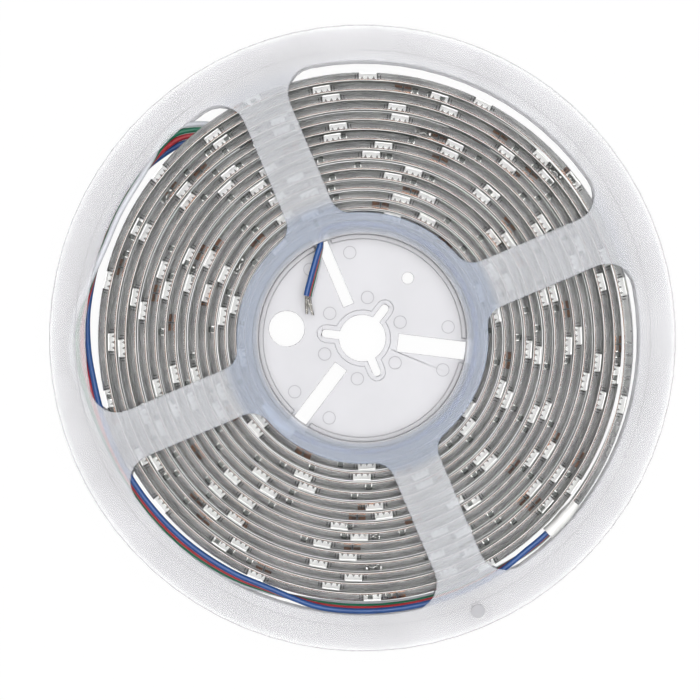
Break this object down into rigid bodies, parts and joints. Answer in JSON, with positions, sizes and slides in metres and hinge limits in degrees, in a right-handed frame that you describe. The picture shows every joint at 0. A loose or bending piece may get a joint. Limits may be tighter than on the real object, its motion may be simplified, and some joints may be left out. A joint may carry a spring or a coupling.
{
  "type": "led strip light",
  "caption": "Moulded plastic reel with a silicone-coated flexible LED strip wound between its flanges and a flat multi-core lead with tinned ends on each end of the strip.",
  "frame": {"origin": "on the reel's axis, in the plane of the rear rim that it lies on", "axes": "+Z along the reel's axis towards the front face with the open hub; +X along one spoke"},
  "size_m": [0.178, 0.178, 0.0164],
  "materials": {
    "frosted_polystyrene": "translucent, fine grain",
    "white_flex_board": "white solder mask",
    "silicone_coat": "clear soft gel, slightly domed",
    "white_shrink_sleeve": "satin",
    "blue_lead_insulation": "soft satin",
    "green_lead_insulation": "soft satin",
    "red_lead_insulation": "soft satin",
    "white_lead_insulation": "soft satin",
    "tinned_copper": "dull tinned"
  },
  "bodies": {
    "root": {"rear_half": "frosted_polystyrene", "front_half": "frosted_polystyrene", "led_strip": "white_flex_board", "inner_sleeve": "white_shrink_sleeve", "outer_sleeve": "white_shrink_sleeve", "inner_lead": "blue_lead_insulation", "outer_lead": "blue_lead_insulation", "inner_bare_end_1": "tinned_copper", "inner_bare_end_2": "tinned_copper", "inner_bare_end_3": "tinned_copper", "inner_bare_end_4": "tinned_copper", "outer_bare_end_1": "tinned_copper", "outer_bare_end_2": "tinned_copper", "outer_bare_end_3": "tinned_copper", "outer_bare_end_4": "tinned_copper"}
  },
  "joints": []
}
